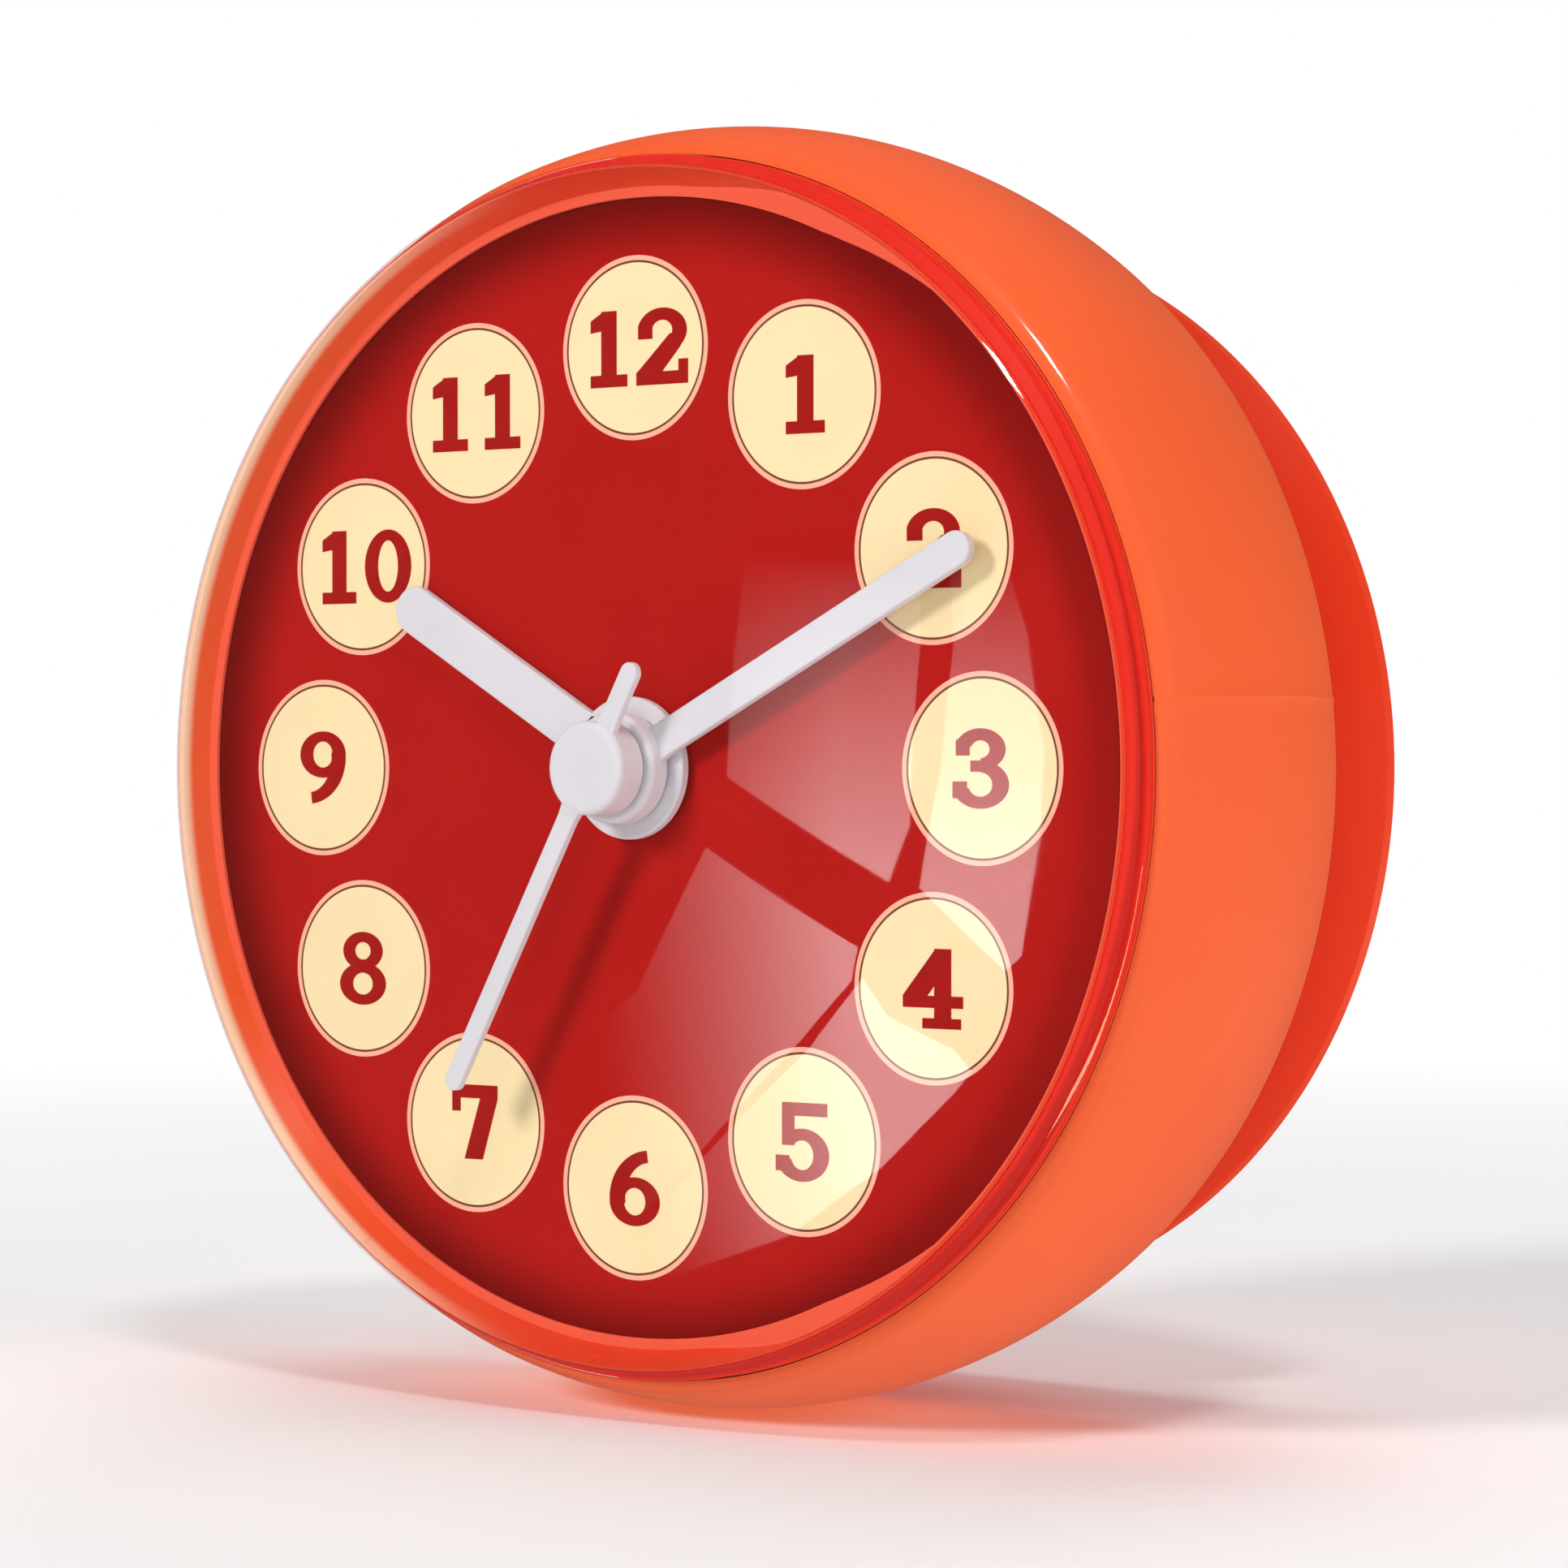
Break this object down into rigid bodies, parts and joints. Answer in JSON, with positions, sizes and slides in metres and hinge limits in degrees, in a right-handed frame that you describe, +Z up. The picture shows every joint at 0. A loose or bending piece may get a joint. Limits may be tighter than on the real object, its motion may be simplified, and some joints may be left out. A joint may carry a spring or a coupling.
{
  "type": "waterproof shower clock",
  "caption": "Round waterproof wall clock: a sealed quartz clock module with domed lens slides into a barrel-shaped shell held to the wall by a suction cup.",
  "frame": {"origin": "centre of the suction cup's sealing plane, on the wall", "axes": "+Y into the wall, so the dial faces -Y; +Z up, towards twelve o'clock; +X to the right of someone reading the clock"},
  "size_m": [0.08, 0.0388, 0.08],
  "materials": {
    "shell_plastic": "satin moulded ABS",
    "cup_rubber": "glossy soft PVC",
    "bezel_plastic": "gloss",
    "lens_clear": "clear polished",
    "seal_rubber": "matt silicone",
    "gasket_rubber": "matt silicone",
    "dial_print": "printed sheet",
    "hand_plastic": "satin",
    "case_plastic": "moulded",
    "wheel_plastic": "acetal",
    "knob_plastic": "moulded",
    "steel": "zinc plated",
    "contact_brass": "spring sheet",
    "board_green": "solder mask",
    "copper_wire": "enamelled wire",
    "iron": "soft iron sheet",
    "cell_can": "nickel plated"
  },
  "bodies": {
    "shell": {"rear_shell": "shell_plastic", "suction_cup": "cup_rubber"},
    "module": {"module_housing": "shell_plastic", "bezel": "bezel_plastic", "lens": "lens_clear", "lens_gasket": "gasket_rubber", "dial": "dial_print", "module_oring": "seal_rubber", "movement_plate": "case_plastic", "movement_cover": "case_plastic", "movement_screws": "steel", "circuit_board": "board_green", "board_screw": "steel", "chip": "case_plastic", "quartz_crystal": "steel", "battery": "cell_can", "contact_positive": "contact_brass", "contact_negative": "contact_brass", "stator": "iron", "coil_core": "iron", "coil_bobbin": "wheel_plastic", "coil_winding": "copper_wire"},
    "rotor": {"rotor_pinion": "wheel_plastic", "rotor_magnet": "iron"},
    "intermediate": {"intermediate_wheel": "wheel_plastic"},
    "seconds": {"seconds_wheel": "wheel_plastic", "second_hand": "hand_plastic"},
    "third": {"third_wheel": "wheel_plastic"},
    "center": {"center_wheel": "wheel_plastic"},
    "minute": {"cannon_pinion": "wheel_plastic", "minute_hand": "hand_plastic"},
    "minute_gear": {"minute_wheel": "wheel_plastic"},
    "hour": {"hour_wheel": "wheel_plastic", "hour_hand": "hand_plastic"},
    "knob": {"setting_knob": "knob_plastic"}
  },
  "joints": [
    {"name": "module_pull", "type": "slide", "parent": "shell", "child": "module", "axis": [0, -1, 0], "range_m": [0, 0.04]},
    {"name": "rotor_spin", "type": "hinge", "parent": "module", "child": "rotor", "pos_m": [0.01077, -0.022, -0.00253], "axis": [0, 1, 0], "continuous": true},
    {"name": "intermediate_spin", "type": "hinge", "parent": "module", "child": "intermediate", "pos_m": [0.00536, -0.022, -0.0045], "axis": [0, 1, 0], "continuous": true},
    {"name": "second_spin", "type": "hinge", "parent": "module", "child": "seconds", "pos_m": [0, -0.022, 0], "axis": [0, 1, 0], "continuous": true},
    {"name": "third_spin", "type": "hinge", "parent": "module", "child": "third", "pos_m": [-0.0067, -0.022, 0.00118], "axis": [0, 1, 0], "continuous": true},
    {"name": "center_spin", "type": "hinge", "parent": "module", "child": "center", "pos_m": [0, -0.022, 0], "axis": [0, 1, 0], "continuous": true},
    {"name": "minute_spin", "type": "hinge", "parent": "module", "child": "minute", "pos_m": [0, -0.022, 0], "axis": [0, 1, 0], "continuous": true},
    {"name": "minute_gear_spin", "type": "hinge", "parent": "module", "child": "minute_gear", "pos_m": [0, -0.022, 0.0072], "axis": [0, 1, 0], "continuous": true},
    {"name": "hour_spin", "type": "hinge", "parent": "module", "child": "hour", "pos_m": [0, -0.022, 0], "axis": [0, 1, 0], "continuous": true},
    {"name": "knob_turn", "type": "hinge", "parent": "module", "child": "knob", "pos_m": [-0.00624, -0.022, 0.0108], "axis": [0, 1, 0], "continuous": true}
  ],
  "couplings": [
    {"joint": "intermediate_spin", "follows": "rotor_spin", "ratio": -0.2},
    {"joint": "second_spin", "follows": "rotor_spin", "ratio": 0.033333},
    {"joint": "third_spin", "follows": "rotor_spin", "ratio": -0.0044444},
    {"joint": "center_spin", "follows": "rotor_spin", "ratio": 0.00055556},
    {"joint": "minute_gear_spin", "follows": "minute_spin", "ratio": -0.33333},
    {"joint": "hour_spin", "follows": "minute_spin", "ratio": 0.083333},
    {"joint": "knob_turn", "follows": "minute_spin", "ratio": 1}
  ]
}
